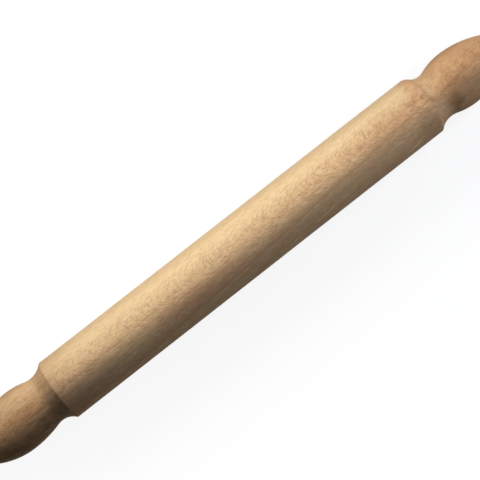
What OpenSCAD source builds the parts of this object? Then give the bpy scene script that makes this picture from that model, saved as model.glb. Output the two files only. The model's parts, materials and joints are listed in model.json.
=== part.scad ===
// Rolling pin turned from a single length of beech: a straight barrel with a bulb grip at each end.
// It lies along X. The origin is on its axis, at the middle of the barrel.

/* [Barrel] */
// Diameter of the straight rolling surface
barrel_diameter = 45; // [40:0.5:52]
// Length of the barrel from rim to rim, measured before the rims are eased
barrel_length = 315; // [200:1:420]
// Radius that eases the edge of each rim
rim_easing = 0.6; // [0.2:0.1:1.5]

/* [Neck] */
// Thinnest diameter between the rim and the grip
neck_diameter = 35.6; // [30:0.2:38]
// Radius of the hollow cove that runs from the rim into the neck
cove_radius = 14.5; // [10:0.5:16]

/* [Grip] */
// Length of each handle, from the rim of the barrel to the tip
handle_length = 71; // [65:0.5:100]
// Widest diameter of the bulb grip
grip_diameter = 42.4; // [40:0.2:46]
// Distance from the rim of the barrel to the widest place of the grip
grip_reach = 32.4; // [31:0.2:40]
// Radius of the domed tip
tip_radius = 15; // [10:0.5:18]

/* [Hidden] */

// Farthest that a straight step of the outline may lie from the arc it follows
outline_error = 0.01;
// Flats round the axis
round_steps = 144;

// Every point of the outline is [distance from the axis, place along the axis].
barrel_radius = barrel_diameter / 2;
neck_radius = neck_diameter / 2;
grip_radius = grip_diameter / 2;
rim_place = barrel_length / 2;

// The cove starts at the rim's corner and is deepest at the neck.
cove_depth = barrel_radius - neck_radius;
neck_place = rim_place + sqrt(2 * cove_radius * cove_depth - pow(cove_depth, 2));
cove_centre = [neck_radius + cove_radius, neck_place];

// The easing touches both the barrel and the cove.
easing_reach = sqrt(2 * (cove_radius + rim_easing) * cove_depth - pow(cove_depth, 2));
easing_centre = [barrel_radius - rim_easing, neck_place - easing_reach];

// The grip swells from the cove to its widest place along one arc, which touches the cove.
grip_place = rim_place + grip_reach;
grip_rise = grip_radius - neck_radius;
swell_run = grip_place - neck_place;
swell_radius = (pow(swell_run, 2) + pow(grip_rise, 2)) / (2 * grip_rise) - cove_radius;
swell_centre = [grip_radius - swell_radius, grip_place];

// It narrows again along a second arc, which touches the domed tip.
tip_centre = [0, rim_place + handle_length - tip_radius];
fall_run = tip_centre[1] - grip_place;
fall_span = pow(grip_radius, 2) + pow(fall_run, 2) - pow(tip_radius, 2);
fall_radius = fall_span / (2 * (grip_radius - tip_radius));
fall_centre = [grip_radius - fall_radius, grip_place];

// Two arcs meet on the line through their centres.
easing_end = bearing(easing_centre, cove_centre);
swell_start = bearing(cove_centre, swell_centre);
fall_end = bearing(fall_centre, tip_centre);

// One end of the pin, from the last of the straight barrel to the tip on the axis
end_outline = concat(
    [[barrel_radius, easing_centre[1]]],
    arc(easing_centre, rim_easing, 0, easing_end),
    arc(cove_centre, cove_radius, easing_end + 180, swell_start),
    arc(swell_centre, swell_radius, swell_start - 180, 0),
    arc(fall_centre, fall_radius, 0, fall_end),
    arc(tip_centre, tip_radius, fall_end, 90)
);

// Direction from one point to another, in degrees from straight out of the axis
function bearing(from, to) = atan2(to[1] - from[1], to[0] - from[0]);

// Points along an arc, without its first one, because the arc before it ends there
function arc(centre, radius, start, end) =
    let (steps = ceil(abs(end - start) / widest_step(radius)))
    [for (i = [1:steps]) centre + radius * toward(start + (end - start) * i / steps)];

function widest_step(radius) = 2 * acos(1 - outline_error / radius);

function toward(angle) = [cos(angle), sin(angle)];

function mirrored(points) = [for (i = [len(points) - 1:-1:0]) [points[i][0], -points[i][1]]];

module rolling_pin() {
    color("burlywood")
        rotate([0, 90, 0])
            rotate_extrude($fn = round_steps)
                polygon(concat(end_outline, mirrored(end_outline)));
}

rolling_pin();
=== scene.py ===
import json
import math

import bpy
import numpy as np
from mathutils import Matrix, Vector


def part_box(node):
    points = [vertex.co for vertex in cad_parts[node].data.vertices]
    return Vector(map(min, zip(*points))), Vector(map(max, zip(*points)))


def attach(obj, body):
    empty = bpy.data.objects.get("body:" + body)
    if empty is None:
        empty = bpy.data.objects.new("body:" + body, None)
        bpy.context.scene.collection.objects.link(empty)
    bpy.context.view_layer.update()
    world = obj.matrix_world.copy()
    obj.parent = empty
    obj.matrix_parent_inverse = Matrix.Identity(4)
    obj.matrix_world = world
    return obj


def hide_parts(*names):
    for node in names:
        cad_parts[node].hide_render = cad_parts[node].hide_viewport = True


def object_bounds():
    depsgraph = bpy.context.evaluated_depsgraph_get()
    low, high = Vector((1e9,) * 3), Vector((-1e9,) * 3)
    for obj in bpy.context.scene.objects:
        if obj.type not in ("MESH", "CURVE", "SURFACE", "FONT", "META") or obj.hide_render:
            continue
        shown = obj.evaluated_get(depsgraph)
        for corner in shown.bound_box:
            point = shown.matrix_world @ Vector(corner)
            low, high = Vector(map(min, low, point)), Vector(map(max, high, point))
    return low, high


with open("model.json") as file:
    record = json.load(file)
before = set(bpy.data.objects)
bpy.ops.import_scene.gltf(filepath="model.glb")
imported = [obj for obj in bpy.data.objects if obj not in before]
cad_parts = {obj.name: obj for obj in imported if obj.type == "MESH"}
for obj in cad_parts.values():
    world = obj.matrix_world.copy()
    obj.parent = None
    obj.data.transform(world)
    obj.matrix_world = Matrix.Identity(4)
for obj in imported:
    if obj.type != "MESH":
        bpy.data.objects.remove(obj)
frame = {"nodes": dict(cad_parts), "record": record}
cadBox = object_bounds()
mounts = {mount["name"]: mount for mount in frame["record"]["mounts"]}
print("frame loaded:", ", ".join(frame["nodes"]))

scene = bpy.context.scene


def addNode(tree, kind, values=None, **settings):
    # settings are the node's own options; values fill its inputs, by name or number, with a value,
    # a socket, or a node whose first live output is meant
    node = tree.nodes.new(kind)
    for name, setting in settings.items():
        setattr(node, name, setting)
    named = {socket.name: socket for socket in reversed(node.inputs) if socket.enabled}
    for name, value in (values or {}).items():
        target = node.inputs[name] if isinstance(name, int) else named[name]
        if isinstance(value, bpy.types.Node):
            value = next(socket for socket in value.outputs if socket.enabled)
        if isinstance(value, bpy.types.NodeSocket):
            tree.links.new(value, target)
        else:
            target.default_value = value
    return node


def linearColour(hexCode):
    # an sRGB hex value as linear light, fully opaque
    channels = np.array([int(hexCode[i:i + 2], 16) for i in (1, 3, 5)]) / 255
    linear = np.where(channels <= 0.04045, channels / 12.92, ((channels + 0.055) / 1.055) ** 2.4)
    return (*linear.tolist(), 1.0)


# Turned pin: sizes in metres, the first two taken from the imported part
pin = {
    "tipPlace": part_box("rolling_pin")[1].x,
    "barrelRadius": mounts["barrel"]["dims"]["r_mm"] / 1000,
    "tipRadius": 0.015,
    "sandingDepth": 0.00008,     # how far the hand sanding dips below a true round
    "barrelRings": 121,
    "arcSteps": {"easing": 12, "cove": 34, "swell": 24, "fall": 34, "tip": 30},
    "flats": 240,                # points round each ring
}
# It was cut and sanded by hand, so each end has one outline on its +Y side and another on its -Y side.
# The places count from the middle of the pin, and the rest are radii
handCut = {
    "plusX": {
        "plusY": {"rimEasing": 0.0069, "coveRadius": 0.0113, "neckPlace": 0.1676, "neckRadius": 0.0174,
                  "gripPlace": 0.1879, "gripRadius": 0.0212},
        "minusY": {"rimEasing": 0.0012, "coveRadius": 0.0161, "neckPlace": 0.1689, "neckRadius": 0.0181,
                   "gripPlace": 0.1885, "gripRadius": 0.0213},
    },
    "minusX": {
        "plusY": {"rimEasing": 0.0018, "coveRadius": 0.0158, "neckPlace": 0.1681, "neckRadius": 0.0177,
                  "gripPlace": 0.1866, "gripRadius": 0.0206},
        "minusY": {"rimEasing": 0.0007, "coveRadius": 0.0124, "neckPlace": 0.1678, "neckRadius": 0.0178,
                   "gripPlace": 0.1933, "gripRadius": 0.0213},
    },
}


def arcPoints(centre, radius, startTurn, endTurn, count):
    # point = centre + radius * (sin, cos) of the turn, where turn 0 points straight away from the axis.
    # The first point is left out, because it already ends what comes before the arc
    turn = np.linspace(startTurn, endTurn, count + 1)[1:]
    return centre + radius * np.stack([np.sin(turn), np.cos(turn)], axis=1)


def turnTowards(start, end):
    # the turn, counted in the same way, in which end lies from start
    return math.atan2(end[0] - start[0], end[1] - start[1])


def endOutline(sizes):
    # One end as (place along the axis, radius): rim easing, hollow cove, swelling grip, falling grip
    # and domed tip are five arcs, and each touches the next on the line through their centres
    coveCentre = np.array([sizes["neckPlace"], sizes["neckRadius"] + sizes["coveRadius"]])
    easingRadius = sizes["barrelRadius"] - sizes["rimEasing"]
    easingSpan = sizes["coveRadius"] + sizes["rimEasing"]
    easingReach = math.sqrt(easingSpan ** 2 - (coveCentre[1] - easingRadius) ** 2)
    easingCentre = np.array([sizes["neckPlace"] - easingReach, easingRadius])
    gripRise = sizes["gripRadius"] - sizes["neckRadius"]
    swellRun = sizes["gripPlace"] - sizes["neckPlace"]
    swellRadius = (swellRun ** 2 + gripRise ** 2) / (2 * gripRise) - sizes["coveRadius"]
    swellCentre = np.array([sizes["gripPlace"], sizes["gripRadius"] - swellRadius])
    tipCentre = np.array([sizes["tipPlace"] - sizes["tipRadius"], 0.0])
    fallRun = tipCentre[0] - sizes["gripPlace"]
    fallSpan = sizes["gripRadius"] ** 2 + fallRun ** 2 - sizes["tipRadius"] ** 2
    fallRadius = fallSpan / (2 * (sizes["gripRadius"] - sizes["tipRadius"]))
    fallCentre = np.array([sizes["gripPlace"], sizes["gripRadius"] - fallRadius])
    easingEnd = turnTowards(easingCentre, coveCentre)
    swellStart = turnTowards(coveCentre, swellCentre)
    fallEnd = turnTowards(fallCentre, tipCentre)
    steps = sizes["arcSteps"]
    return np.concatenate([
        [[easingCentre[0], sizes["barrelRadius"]]],
        arcPoints(easingCentre, sizes["rimEasing"], 0, easingEnd, steps["easing"]),
        arcPoints(coveCentre, sizes["coveRadius"], easingEnd + math.pi, swellStart, steps["cove"]),
        arcPoints(swellCentre, swellRadius, swellStart - math.pi, 0, steps["swell"]),
        arcPoints(fallCentre, fallRadius, 0, fallEnd, steps["fall"]),
        arcPoints(tipCentre, sizes["tipRadius"], fallEnd, math.pi / 2, steps["tip"]),
    ])


def sideOutline(sizes, side):
    # From tip to tip along one side: both ends as above, with evenly spaced rings on the barrel between
    start = endOutline({**sizes, **handCut["minusX"][side]})[::-1] * [-1, 1]
    end = endOutline({**sizes, **handCut["plusX"][side]})
    straight = np.linspace(start[-1], end[0], sizes["barrelRings"])[1:-1]
    return np.concatenate([start, straight, end])


def pinSurface(sizes):
    # point(ring, angle) = (place, r cos angle, r sin angle). Place and r are those of the +Y outline in
    # the share cos(angle / 2), taken as positive, and of the -Y outline in the rest, and r loses a
    # shallow sanding dip: a sum of slow waves along the axis and round it, from none to sandingDepth
    plusY = sideOutline(sizes, "plusY")
    minusY = sideOutline(sizes, "minusY")
    angle = np.linspace(0, 2 * math.pi, sizes["flats"], endpoint=False)[None, :]
    share = np.abs(np.cos(angle / 2))
    place, radius = [share * plusY[1:-1, i:i + 1] + (1 - share) * minusY[1:-1, i:i + 1] for i in (0, 1)]
    waves = np.sin(41 * place + 2 * angle)
    waves = waves + np.sin(97 * place - 3 * angle + 1)
    waves = waves + np.sin(23 * place + angle + 2)
    radius = radius - sizes["sandingDepth"] * (3 + waves) / 6
    rings = np.stack([place, radius * np.cos(angle), radius * np.sin(angle)], axis=2)
    poles = [[plusY[0, 0], 0, 0], [plusY[-1, 0], 0, 0]]
    return rings, np.array(poles)


def closedMesh(name, rings, poles):
    # quads join each ring to the next, and a fan closes each end on its pole
    ringCount, flats = rings.shape[:2]
    index = np.arange(ringCount * flats).reshape(ringCount, flats)
    following = np.roll(index, -1, axis=1)
    quads = np.stack([index[:-1], index[1:], following[1:], following[:-1]], axis=2).reshape(-1, 4)
    firstPole = ringCount * flats
    start = np.stack([np.full(flats, firstPole), index[0], following[0]], axis=1)
    end = np.stack([np.full(flats, firstPole + 1), following[-1], index[-1]], axis=1)
    mesh = bpy.data.meshes.new(name)
    points = np.concatenate([rings.reshape(-1, 3), poles])
    mesh.from_pydata(points.tolist(), [], quads.tolist() + start.tolist() + end.tolist())
    mesh.polygons.foreach_set("use_smooth", np.ones(len(mesh.polygons), dtype=bool))
    mesh.update()
    piece = bpy.data.objects.new(name, mesh)
    scene.collection.objects.link(piece)
    return piece


# Bare beech, turned and fine sanded: the wood's own pale tan, painted shade along the +Y edge and on the -Y
# side, a warm band along the top that is partly the wood's patchy tone and partly a painted warm tint where
# the lit side turns into shade, growth rings that darken slowly and end at a thin light line, ray flecks on
# the quarter-sawn top, some with a painted glint, and hardly any sheen
beech = {
    # painted shade along the +Y edge, where the light falls off
    "paintedEdgeShade": "#D0B388",
    "paleWood": "#EACA99",
    # partly the wood's own tone, partly a painted warm tint where the lit side turns into shade
    "warmWood": "#E6B786",
    # painted shade on the -Y side, which is turned away from the key lamp
    "paintedShadeWood": "#C7A680",
    "ringBand": "#B48560",       # the last and densest wood of each ring
    "ringLine": "#F0D5A6",       # the first pale wood of the next one
    "fleck": "#B98F69",
    "paintedGlint": "#F0D8AE",     # rays with a painted glint
    "pore": "#B48C64",
    # Metres from the axis, on the +Y side, where a change across the pin starts and where it is complete
    "paleStart": (0.022, 0.0145),
    "warmStart": (0.015, 0.003),
    # where the painted shade on the -Y side starts and where it is complete
    "paintedShadeStart": (0.001, -0.008),
    "figureStart": (0.0155, 0.0085),    # the flecks, the clouds and the light lines appear
    "fleckFade": (-0.001, -0.008),      # the flecks fade again
    "bandStart": (0.008, -0.004),       # the rings darken
    # Sizes in millimetres: one that has three parts runs along the fibre, along the ray and across both
    "fibreTilt": (16.0, -8.6, -2.19),   # degrees that turn the pin's axes to fibre, ray and ring
    "fibreWander": (70.0, 26.0, 26.0),  # how far apart the fibres wander one way and the other
    "wanderReach": (0.0, 2.2, 2.0),
    "warmPatch": (60.0, 9.0, 14.0),
    "ringWidth": 5.19,                  # between two growth rings
    "pithDistance": 200.0,              # from the pin's axis to the centre of the tree, on the +Y side
    "streakLength": 45.0,
    "streakWidth": 0.8,                 # wider than the real 0.3 mm, so that they show
    "fleckSize": (1.7, 4.2, 0.34),
    "crescentPlace": 6.0,               # from the axis to the middle of the flecks, on the +Y side
    "crescentBend": 0.12,               # of a fleck at 1 mm from there, and 4 times that at 2 mm
    "cloudSize": (8.0, 4.0, 4.0),
    "poreSize": (8.0, 0.62, 0.62),      # wider than the real 0.1 mm, so that they show
    "ringShift": -0.44,          # rings that the pattern is moved by, so that its lines fall where they do
    "ringStep": 2.3,             # radians from ring to ring, in the sine that says how dark each one is
    "ringPhase": -3.03,
    # How much of each colour the darkest or lightest places take, from 0 to 1
    # how much of the painted shade the -Y side takes
    "paintedShadeDepth": 0.85,
    "bandDepth": 0.55,
    "lineDepth": 0.55,
    "streakDepth": 0.38,
    "fleckDepth": 0.58,
    # how strong the painted glint on the flecks is
    "paintedGlintDepth": 0.45,
    "cloudDepth": 0.22,
    "poreDepth": 0.58,
    "upperShare": 0.15,          # what is left of the dark rings and streaks on the +Y side
    "roughness": (0.65, 0.76),   # of the wood between the pores, and in them
    "poreRelief": 0.0002,        # metres
    "ior": 1.5,
    "specular": 0.14,            # low, because raw fibres scatter nearly all of the light
}

# Wear along the pin: where it starts and where it is complete, in metres from the middle, and the colour
# that the wood is multiplied by. Hands have darkened the grips, more at the +X end, and the tips show
# thirsty end grain
wear = {
    "+X grip": (0.155, 0.18, "#E2DAD1"),
    "-X grip": (-0.12, -0.175, "#E4DAD6"),
    "+X tip": (0.219, 0.2275, "#C9A98B"),
    "-X tip": (-0.219, -0.2275, "#C9A98B"),
}

# Marks of handling, and patches of painted shade, each so named: the middle of each and its reach to each
# side, in metres, and the colour that the wood is multiplied by. It fades out over the reach, with a mottled
# edge
markEdge = {"start": 0.2, "end": 1.1, "mottling": 0.7}
marks = {
    "oily patch on top of the -X grip": ((-0.182, 0.0015, 0.02), (0.025, 0.007, 0.014), "#EDE2D7"),
    # painted shade along the top edge of the -X grip, where the light falls off
    "painted shade along the top edge of the -X grip": ((-0.185, 0.022, 0.0), (0.03, 0.006, 0.03), "#EAE6E4"),
    # painted shade on the -Y side of the -X grip
    "painted shade under the -X grip": ((-0.2, -0.021, 0.006), (0.042, 0.024, 0.024), "#979581"),
    # painted shade on the -Y side beside the -X cove
    "painted shade beside the -X cove": ((-0.171, -0.013, 0.01), (0.01, 0.015, 0.03), "#D9D8CE"),
    # painted cool shade in the hollow of the -X cove
    "painted cool shade in the -X cove": ((-0.1635, -0.001, 0.018), (0.006, 0.007, 0.02), "#E8E9FF"),
    # painted shade on the +Y side of the -X cove
    "painted shade on the top side of the -X cove": ((-0.1635, 0.013, 0.01), (0.006, 0.019, 0.03), "#EBE8E5"),
    # painted shade on the -Y side of the barrel's -X end
    "painted shade under the barrel's -X end": ((-0.15, -0.0095, 0.015), (0.055, 0.016, 0.03), "#DFE2E6"),
    "stain on the barrel": ((-0.04, -0.007, 0.015), (0.052, 0.0085, 0.02), "#F5EBEA"),
    # a warmer tint of the wood together with painted shade on top of the barrel's +X end
    "warm tint and painted shade on top of the barrel's +X end": ((0.128, 0.003, 0.016), (0.045, 0.015, 0.022), "#F1EAE7"),
    "rubbed +X rim": ((0.156, 0.014, 0.01), (0.0095, 0.023, 0.03), "#EADBD5"),
    # painted shade in the +X neck on its +Y side
    "painted shade on the top side of the +X neck": ((0.169, 0.019, 0.008), (0.008, 0.013, 0.03), "#E6DFDB"),
    "brown spot by the +X rim": ((0.1478, 0.0057, 0.0217), (0.0058, 0.0032, 0.012), "#DBD0C8"),
    # painted shade on the -Y side under the +X rim
    "painted shade under the +X rim": ((0.15, -0.0145, 0.01), (0.014, 0.014, 0.03), "#E7E5E3"),
    "flush on the +X grip": ((0.2, 0.022, 0.01), (0.045, 0.024, 0.04), "#FFEEED"),
    # painted shade along the top edge of the +X grip, where the light falls off
    "painted shade along the top edge of the +X grip": ((0.19, 0.0225, 0.0), (0.03, 0.006, 0.03), "#E6E2E0"),
    "finger mark on the +X grip": ((0.181, -0.002, 0.02), (0.018, 0.0085, 0.03), "#EBE6E7"),
    # painted shade on the -Y side of the +X swell beside the cove
    "painted shade beside the +X cove": ((0.175, -0.0115, 0.015), (0.0075, 0.0072, 0.02), "#DAD8D4"),
}


def beechMaterial(look):
    material = bpy.data.materials.new("beech, turned and sanded")
    material.use_nodes = True
    tree = material.node_tree
    tree.nodes.clear()
    place = addNode(tree, "ShaderNodeTexCoord").outputs["Object"]
    grain = addNode(tree, "ShaderNodeMapping", {
        "Vector": place, "Scale": (1000, 1000, 1000),
        "Rotation": [math.radians(degrees) for degrees in look["fibreTilt"]]})
    # The fibres wander by about a millimetre over a hand's width
    slow = addNode(tree, "ShaderNodeMapping", {
        "Vector": grain, "Scale": [1 / size for size in look["fibreWander"]]})
    wander = addNode(tree, "ShaderNodeTexNoise", {"Vector": slow, "Scale": 1.0, "Detail": 2.0})
    centred = addNode(tree, "ShaderNodeVectorMath", {0: wander.outputs["Color"], 1: (0.5, 0.5, 0.5)},
                      operation="SUBTRACT")
    shift = addNode(tree, "ShaderNodeVectorMath", {0: centred, 1: look["wanderReach"]},
                    operation="MULTIPLY")
    fibre = addNode(tree, "ShaderNodeVectorMath", {0: grain, 1: shift})
    inWood = addNode(tree, "ShaderNodeSeparateXYZ", {0: fibre}).outputs    # X fibre, Y ray, Z ring
    onPin = addNode(tree, "ShaderNodeSeparateXYZ", {0: place}).outputs

    # From the +Y edge down: painted shade along the edge, then the wood's own pale tone, then a warm band
    # that is partly the wood's patchy tone and partly a painted warm tint where the light turns into shade,
    # then painted shade on the -Y side. The warmth comes in patches along the fibres and is strongest at the
    # +X end
    drift = addNode(tree, "ShaderNodeMapping", {
        "Vector": fibre, "Scale": [1 / size for size in look["warmPatch"]]})
    driftNoise = addNode(tree, "ShaderNodeTexNoise", {"Vector": drift, "Scale": 1.0, "Detail": 3.0})
    driftShare = addNode(tree, "ShaderNodeMapRange", {
        "Value": driftNoise, "From Min": 0.3, "From Max": 0.7, "To Min": 0.6, "To Max": 1.15})
    warmEnd = addNode(tree, "ShaderNodeMapRange", {
        "Value": onPin["X"], "From Min": -0.16, "From Max": 0.16, "To Min": 0.4, "To Max": 1.0})
    warmth = addNode(tree, "ShaderNodeMath", {0: driftShare, 1: warmEnd}, operation="MULTIPLY",
                     use_clamp=True)
    # painted shade at the +Y edge, the pale wood, the warm band with its painted tint, and painted shade on
    # the -Y side
    tone = linearColour(look["paintedEdgeShade"])
    for edge, share, colour in (
            (look["paleStart"], 1.0, look["paleWood"]), (look["warmStart"], warmth, look["warmWood"]),
            (look["paintedShadeStart"], look["paintedShadeDepth"], look["paintedShadeWood"])):
        side = addNode(tree, "ShaderNodeMapRange", {
            "Value": onPin["Y"], "From Min": edge[0], "From Max": edge[1]},
            interpolation_type="SMOOTHSTEP")
        side = addNode(tree, "ShaderNodeMath", {0: side, 1: share}, operation="MULTIPLY")
        tone = addNode(tree, "ShaderNodeMix", {"Factor": side, "A": tone, "B": linearColour(colour)},
                       data_type="RGBA")

    # Its figure shows where the surface lies along the rays, and fades towards the +Y edge. The flecks
    # are weaker at the -X end and below
    figure = addNode(tree, "ShaderNodeMapRange", {
        "Value": onPin["Y"], "From Min": look["figureStart"][0], "From Max": look["figureStart"][1],
        "To Min": 0.2, "To Max": 1.0}, interpolation_type="SMOOTHSTEP")
    fleckEnd = addNode(tree, "ShaderNodeMapRange", {
        "Value": onPin["X"], "From Min": -0.12, "From Max": 0.12, "To Min": 0.8, "To Max": 1.0})
    fleckFigure = addNode(tree, "ShaderNodeMath", {0: figure, 1: fleckEnd}, operation="MULTIPLY")
    fleckFoot = addNode(tree, "ShaderNodeMapRange", {
        "Value": onPin["Y"], "From Min": look["fleckFade"][0], "From Max": look["fleckFade"][1],
        "To Min": 1.0, "To Max": 0.4})
    fleckFigure = addNode(tree, "ShaderNodeMath", {0: fleckFigure, 1: fleckFoot}, operation="MULTIPLY")

    # Rings are wide cylinders round the pith, so they bend a little across the pin. Each darkens
    # towards its outer edge, and a thin light line, broken here and there, opens the next
    bend = addNode(tree, "ShaderNodeMath", {0: inWood["Z"], 1: inWood["Z"]}, operation="MULTIPLY")
    bent = addNode(tree, "ShaderNodeMath", {0: bend, 1: 0.5 / look["pithDistance"]}, operation="MULTIPLY")
    bent = addNode(tree, "ShaderNodeMath", {0: bent, 1: inWood["Y"]}, operation="SUBTRACT")
    ringCount = addNode(tree, "ShaderNodeMath", {0: bent, 1: 1 / look["ringWidth"], 2: look["ringShift"]},
                        operation="MULTIPLY_ADD")
    ringShare = addNode(tree, "ShaderNodeMath", {0: ringCount}, operation="FRACT")
    ringNumber = addNode(tree, "ShaderNodeMath", {0: ringCount}, operation="FLOOR")
    ringChance = addNode(tree, "ShaderNodeMath", {0: ringNumber, 1: look["ringStep"], 2: look["ringPhase"]},
                         operation="MULTIPLY_ADD")
    ringChance = addNode(tree, "ShaderNodeMath", {0: ringChance}, operation="SINE")
    band = addNode(tree, "ShaderNodeMapRange", {"Value": ringShare, "From Min": 0.3, "From Max": 1.0},
                   interpolation_type="SMOOTHSTEP")
    bandDepth = addNode(tree, "ShaderNodeMapRange", {
        "Value": ringChance, "From Min": -1.0, "To Min": 0.0, "To Max": look["bandDepth"]})
    bandShare = addNode(tree, "ShaderNodeMath", {0: band, 1: bandDepth}, operation="MULTIPLY")
    lower = addNode(tree, "ShaderNodeMapRange", {
        "Value": onPin["Y"], "From Min": look["bandStart"][0], "From Max": look["bandStart"][1],
        "To Min": look["upperShare"], "To Max": 1.0}, interpolation_type="SMOOTHSTEP")
    bandShare = addNode(tree, "ShaderNodeMath", {0: bandShare, 1: lower}, operation="MULTIPLY")
    line = addNode(tree, "ShaderNodeMapRange", {
        "Value": ringShare, "From Min": 0.02, "From Max": 0.12, "To Min": 1.0, "To Max": 0.0},
        interpolation_type="SMOOTHSTEP")
    patches = addNode(tree, "ShaderNodeMapping", {
        "Vector": fibre, "Scale": [1 / size for size in look["cloudSize"]]})
    cloudNoise = addNode(tree, "ShaderNodeTexNoise", {"Vector": patches, "Scale": 1.0, "Detail": 2.0})
    lineDepth = addNode(tree, "ShaderNodeMapRange", {
        "Value": cloudNoise, "From Min": 0.42, "From Max": 0.58, "To Min": 0.1, "To Max": look["lineDepth"]})
    lineDepth = addNode(tree, "ShaderNodeMath", {0: lineDepth, 1: figure}, operation="MULTIPLY")
    lineShare = addNode(tree, "ShaderNodeMath", {0: line, 1: lineDepth}, operation="MULTIPLY")
    tone = addNode(tree, "ShaderNodeMix", {
        "Factor": bandShare, "A": tone, "B": linearColour(look["ringBand"])}, data_type="RGBA")
    tone = addNode(tree, "ShaderNodeMix", {
        "Factor": lineShare, "A": tone, "B": linearColour(look["ringLine"])}, data_type="RGBA")

    # Finer dark streaks run with the rings
    alongStreaks = addNode(tree, "ShaderNodeMath", {0: inWood["X"], 1: 1 / look["streakLength"]},
                           operation="MULTIPLY")
    acrossStreaks = addNode(tree, "ShaderNodeMath", {
        0: ringCount, 1: look["ringWidth"] / look["streakWidth"]}, operation="MULTIPLY")
    streaks = addNode(tree, "ShaderNodeCombineXYZ", {"X": alongStreaks, "Y": acrossStreaks})
    streakNoise = addNode(tree, "ShaderNodeTexNoise", {"Vector": streaks, "Scale": 1.0, "Detail": 2.0})
    streakShare = addNode(tree, "ShaderNodeMapRange", {
        "Value": streakNoise, "From Min": 0.5, "From Max": 0.66, "To Max": look["streakDepth"]})
    streakShare = addNode(tree, "ShaderNodeMath", {0: streakShare, 1: lower}, operation="MULTIPLY")
    tone = addNode(tree, "ShaderNodeMix", {
        "Factor": streakShare, "A": tone, "B": linearColour(look["ringBand"])}, data_type="RGBA")

    # Rays are thin ribbons that run towards the pith. Where the surface meets them flat they are broken
    # crescents, dark, or pale with a painted glint, that trail off along the pin on both sides, and they
    # fade below
    aside = addNode(tree, "ShaderNodeMath", {
        0: onPin["Y"], 1: 1000.0, 2: -look["crescentPlace"]}, operation="MULTIPLY_ADD")
    sweep = addNode(tree, "ShaderNodeMath", {0: aside, 1: aside}, operation="MULTIPLY")
    sweep = addNode(tree, "ShaderNodeMath", {0: sweep, 1: -look["crescentBend"], 2: inWood["X"]},
                    operation="MULTIPLY_ADD")
    swept = addNode(tree, "ShaderNodeCombineXYZ", {"X": sweep, "Y": inWood["Y"], "Z": inWood["Z"]})
    rays = addNode(tree, "ShaderNodeMapping", {
        "Vector": swept, "Scale": [1 / size for size in look["fleckSize"]]})
    rayNoise = addNode(tree, "ShaderNodeTexNoise", {
        "Vector": rays, "Scale": 1.0, "Detail": 3.0, "Distortion": 0.7})
    darkRay = addNode(tree, "ShaderNodeMapRange", {
        "Value": rayNoise, "From Min": 0.53, "From Max": 0.64, "To Max": look["fleckDepth"]},
        interpolation_type="SMOOTHSTEP")
    # painted glint on the flecks
    paintedGlintRay = addNode(tree, "ShaderNodeMapRange", {
        "Value": rayNoise, "From Min": 0.46, "From Max": 0.34, "To Max": look["paintedGlintDepth"]},
        interpolation_type="SMOOTHSTEP")
    darkShare = addNode(tree, "ShaderNodeMath", {0: darkRay, 1: fleckFigure}, operation="MULTIPLY")
    paintedGlintShare = addNode(tree, "ShaderNodeMath", {0: paintedGlintRay, 1: fleckFigure}, operation="MULTIPLY")
    tone = addNode(tree, "ShaderNodeMix", {
        "Factor": darkShare, "A": tone, "B": linearColour(look["fleck"])}, data_type="RGBA")
    tone = addNode(tree, "ShaderNodeMix", {
        "Factor": paintedGlintShare, "A": tone, "B": linearColour(look["paintedGlint"])}, data_type="RGBA")

    # Clouds a few millimetres wide, and fine pore streaks that are strongest below
    clouds = addNode(tree, "ShaderNodeMapRange", {
        "Value": cloudNoise, "From Min": 0.52, "From Max": 0.3, "To Max": look["cloudDepth"]})
    clouds = addNode(tree, "ShaderNodeMath", {0: clouds, 1: figure}, operation="MULTIPLY")
    tone = addNode(tree, "ShaderNodeMix", {
        "Factor": clouds, "A": tone, "B": linearColour(look["fleck"])}, data_type="RGBA")
    pores = addNode(tree, "ShaderNodeMapping", {
        "Vector": fibre, "Scale": [1 / size for size in look["poreSize"]]})
    poreNoise = addNode(tree, "ShaderNodeTexNoise", {"Vector": pores, "Scale": 1.0, "Detail": 3.0})
    poreShare = addNode(tree, "ShaderNodeMapRange", {
        "Value": poreNoise, "From Min": 0.47, "From Max": 0.69, "To Max": look["poreDepth"]})
    poreRise = addNode(tree, "ShaderNodeMapRange", {
        "Value": lower, "From Min": look["upperShare"], "From Max": 1.0, "To Min": 0.82, "To Max": 1.5})
    poreShare = addNode(tree, "ShaderNodeMath", {0: poreShare, 1: poreRise}, operation="MULTIPLY")
    tone = addNode(tree, "ShaderNodeMix", {
        "Factor": poreShare, "A": tone, "B": linearColour(look["pore"])}, data_type="RGBA")

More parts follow.
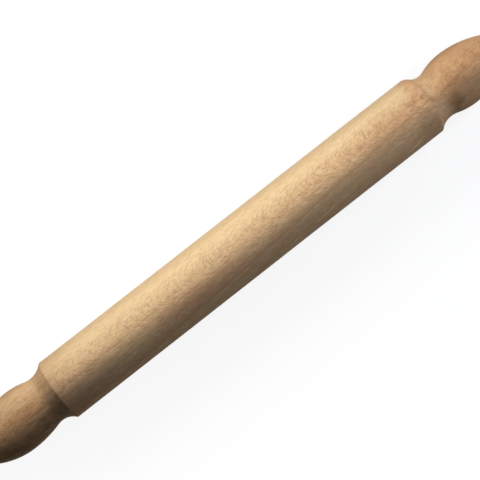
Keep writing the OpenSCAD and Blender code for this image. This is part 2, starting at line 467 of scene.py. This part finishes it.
    # Wear, and then each mark or patch of painted shade as a soft patch: how far away its middle is, in
    # shares of its reach
    for start, end, colour in wear.values():
        worn = addNode(tree, "ShaderNodeMapRange", {
            "Value": onPin["X"], "From Min": start, "From Max": end},
            interpolation_type="SMOOTHSTEP")
        tone = addNode(tree, "ShaderNodeMix", {"Factor": worn, "A": tone, "B": linearColour(colour)},
                       data_type="RGBA", blend_type="MULTIPLY")
    mottling = addNode(tree, "ShaderNodeMath", {
        0: cloudNoise, 1: markEdge["mottling"], 2: -markEdge["mottling"] / 2}, operation="MULTIPLY_ADD")
    for middle, reach, colour in marks.values():
        offset = addNode(tree, "ShaderNodeVectorMath", {0: place, 1: middle}, operation="SUBTRACT")
        offset = addNode(tree, "ShaderNodeVectorMath", {0: offset, 1: reach}, operation="DIVIDE")
        offset = addNode(tree, "ShaderNodeVectorMath", {0: offset}, operation="LENGTH")
        mottled = addNode(tree, "ShaderNodeMath", {0: offset.outputs["Value"], 1: mottling})
        patch = addNode(tree, "ShaderNodeMapRange", {
            "Value": mottled, "From Min": markEdge["start"], "From Max": markEdge["end"],
            "To Min": 1.0, "To Max": 0.0}, interpolation_type="SMOOTHSTEP")
        tone = addNode(tree, "ShaderNodeMix", {"Factor": patch, "A": tone, "B": linearColour(colour)},
                       data_type="RGBA", blend_type="MULTIPLY")

    gloss = addNode(tree, "ShaderNodeMapRange", {
        "Value": poreNoise, "From Min": 0.3, "From Max": 0.7,
        "To Min": look["roughness"][0], "To Max": look["roughness"][1]})
    relief = addNode(tree, "ShaderNodeBump", {
        "Strength": 0.25, "Distance": look["poreRelief"], "Height": poreNoise})
    shader = addNode(tree, "ShaderNodeBsdfPrincipled", {
        "Base Color": tone, "Roughness": gloss, "Normal": relief, "IOR": look["ior"],
        "Specular IOR Level": look["specular"]})
    addNode(tree, "ShaderNodeOutputMaterial", {"Surface": shader})
    return material


rings, poles = pinSurface(pin)
turnedPin = closedMesh("turned_pin", rings, poles)
turnedPin.data.materials.append(beechMaterial(beech))
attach(turnedPin, "root")
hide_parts("rolling_pin")
print("turned pin:", len(turnedPin.data.vertices), "points")

# Lamps: azimuth is counted from +X towards +Y and elevation up from the floor, in degrees, and the
# distance from the middle of the pin and the width are in metres
lamps = {
    "key": {"azimuth": 95.5, "elevation": 28.5, "distance": 0.5, "width": 0.3, "watts": 2.65,
            "colour": (1, 1, 1)},
    "endFill": {"azimuth": 0, "elevation": 45, "distance": 0.5, "width": 0.18, "watts": 0.63,
                "colour": (0.94, 1.0, 1.12)},
    "softFill": {"azimuth": -35, "elevation": 40, "distance": 0.6, "width": 0.3, "watts": 0.36,
                 "colour": (0.88, 1.0, 1.2)},
}


def lampPlace(setup, aside=0.0, above=0.0):
    # the middle of the lamp, or a point on its face so far aside of the middle and above it, in metres
    azimuth = math.radians(setup["azimuth"])
    elevation = math.radians(setup["elevation"])
    level = math.cos(elevation)
    outward = np.array([level * math.cos(azimuth), level * math.sin(azimuth), math.sin(elevation)])
    side = np.array([-math.sin(azimuth), math.cos(azimuth), 0.0])
    return outward * setup["distance"] + side * aside + np.cross(outward, side) * above


def addLamp(name, setup):
    lamp = bpy.data.lights.new(name, "AREA")
    lamp.size = setup["width"]
    lamp.energy = setup["watts"]
    lamp.color = setup["colour"]
    holder = bpy.data.objects.new(name, lamp)
    holder.location = lampPlace(setup)
    holder.rotation_euler = (0, math.radians(90 - setup["elevation"]), math.radians(setup["azimuth"]))
    holder.visible_camera = False
    scene.collection.objects.link(holder)


for name, setup in lamps.items():
    addLamp(name, setup)


def seenDirectly(tree):
    # 1 for what the camera, reflections and glass see, and 0 for all other light
    path = addNode(tree, "ShaderNodeLightPath").outputs
    seen = addNode(tree, "ShaderNodeMath", {0: path["Is Camera Ray"], 1: path["Is Glossy Ray"]},
                   operation="ADD")
    return addNode(tree, "ShaderNodeMath", {0: seen, 1: path["Is Transmission Ray"]}, operation="ADD",
                   use_clamp=True)


# Floor: matt paper that reflects a fifth of the light, so that the pin's shadow stays faint on it
floorLook = {
    "radius": 4.0,
    "corners": 96,
    "colour": "#7C7C7C",
    "lampPoint": 0.29,           # of a lamp's width, from its middle to the points that stand for it
}


def floorMaterial(look, height):
    material = bpy.data.materials.new("matt white paper")
    material.use_nodes = True
    tree = material.node_tree
    tree.nodes.clear()
    # A lamp of w watts lights the floor by w * drop * depth / (pi * pi * distance to the fourth), where
    # depth is measured along its aim, and each lamp counts as four points of a quarter of its watts. The
    # paper's own glow makes that up to white, for what the camera, reflections and glass see of it, but
    # not in shadow
    place = addNode(tree, "ShaderNodeTexCoord").outputs["Object"]
    glow = 1.0
    for setup in lamps.values():
        reach = look["lampPoint"] * setup["width"]
        for aside, above in ((-reach, -reach), (-reach, reach), (reach, -reach), (reach, reach)):
            lamp = lampPlace(setup, aside, above)
            drop = lamp[2] - height
            strength = linearColour(look["colour"])[0] * setup["watts"] / 4 * drop / math.pi ** 2
            aim = lampPlace(setup) * strength / setup["distance"]
            offset = addNode(tree, "ShaderNodeVectorMath", {0: lamp.tolist(), 1: place},
                             operation="SUBTRACT")
            depth = addNode(tree, "ShaderNodeVectorMath", {0: offset, 1: aim.tolist()},
                            operation="DOT_PRODUCT")
            distance = addNode(tree, "ShaderNodeVectorMath", {0: offset}, operation="LENGTH")
            fourth = addNode(tree, "ShaderNodeMath", {0: distance.outputs["Value"], 1: 4.0},
                             operation="POWER")
            share = addNode(tree, "ShaderNodeMath", {0: depth.outputs["Value"], 1: fourth},
                            operation="DIVIDE")
            glow = addNode(tree, "ShaderNodeMath", {0: glow, 1: share}, operation="SUBTRACT",
                           use_clamp=True)
    strength = addNode(tree, "ShaderNodeMath", {0: seenDirectly(tree), 1: glow}, operation="MULTIPLY")
    glow = addNode(tree, "ShaderNodeEmission", {"Strength": strength})
    paper = addNode(tree, "ShaderNodeBsdfDiffuse", {"Color": linearColour(look["colour"])})
    both = addNode(tree, "ShaderNodeAddShader", {0: glow, 1: paper})
    addNode(tree, "ShaderNodeOutputMaterial", {"Surface": both})
    return material


def discFloor(look, height):
    # point(turn) = (radius cos turn, radius sin turn, height), closed as one face
    turn = np.linspace(0, 2 * math.pi, look["corners"], endpoint=False)
    points = np.stack([np.cos(turn), np.sin(turn), 0 * turn], axis=1) * look["radius"] + [0, 0, height]
    mesh = bpy.data.meshes.new("floor")
    mesh.from_pydata(points.tolist(), [], [list(range(len(turn)))])
    floor = bpy.data.objects.new("floor", mesh)
    scene.collection.objects.link(floor)
    return floor


floor = discFloor(floorLook, cadBox[0].z)
floor.data.materials.append(floorMaterial(floorLook, cadBox[0].z))

# World: white behind everything, and a weak even light from all round
surround = {"seen": 1.0, "light": 0.048}
world = bpy.data.worlds.new("studio")
world.use_nodes = True
tree = world.node_tree
tree.nodes.clear()
level = addNode(tree, "ShaderNodeMix", {
    "Factor": seenDirectly(tree), "A": surround["light"], "B": surround["seen"]}, data_type="FLOAT")
white = addNode(tree, "ShaderNodeBackground", {"Color": (1, 1, 1, 1), "Strength": level})
addNode(tree, "ShaderNodeOutputWorld", {"Surface": white})
scene.world = world
scene.view_settings.view_transform = "Standard"

# Camera of the photograph: it looks almost straight down on the pin, from 85 centimetres
cameraSetup = {
    "lens": 93.742,              # millimetres, for a sensor 36 mm wide
    "sensor": 36.0,
    "place": (-0.047092, 0.000477, 0.85),
    "yaw": 3.2639,               # degrees
    "pitch": -0.2617,
    "roll": 38.0255,
}
lens = bpy.data.cameras.new("camera")
lens.lens = cameraSetup["lens"]
lens.sensor_width = cameraSetup["sensor"]
camera = bpy.data.objects.new("camera", lens)
camera.location = cameraSetup["place"]
camera.rotation_mode = "ZXY"     # roll first, then pitch, then yaw
camera.rotation_euler = [-math.radians(cameraSetup[turn]) for turn in ("pitch", "yaw", "roll")]
scene.collection.objects.link(camera)
scene.camera = camera
print("stage, lamps and camera placed")
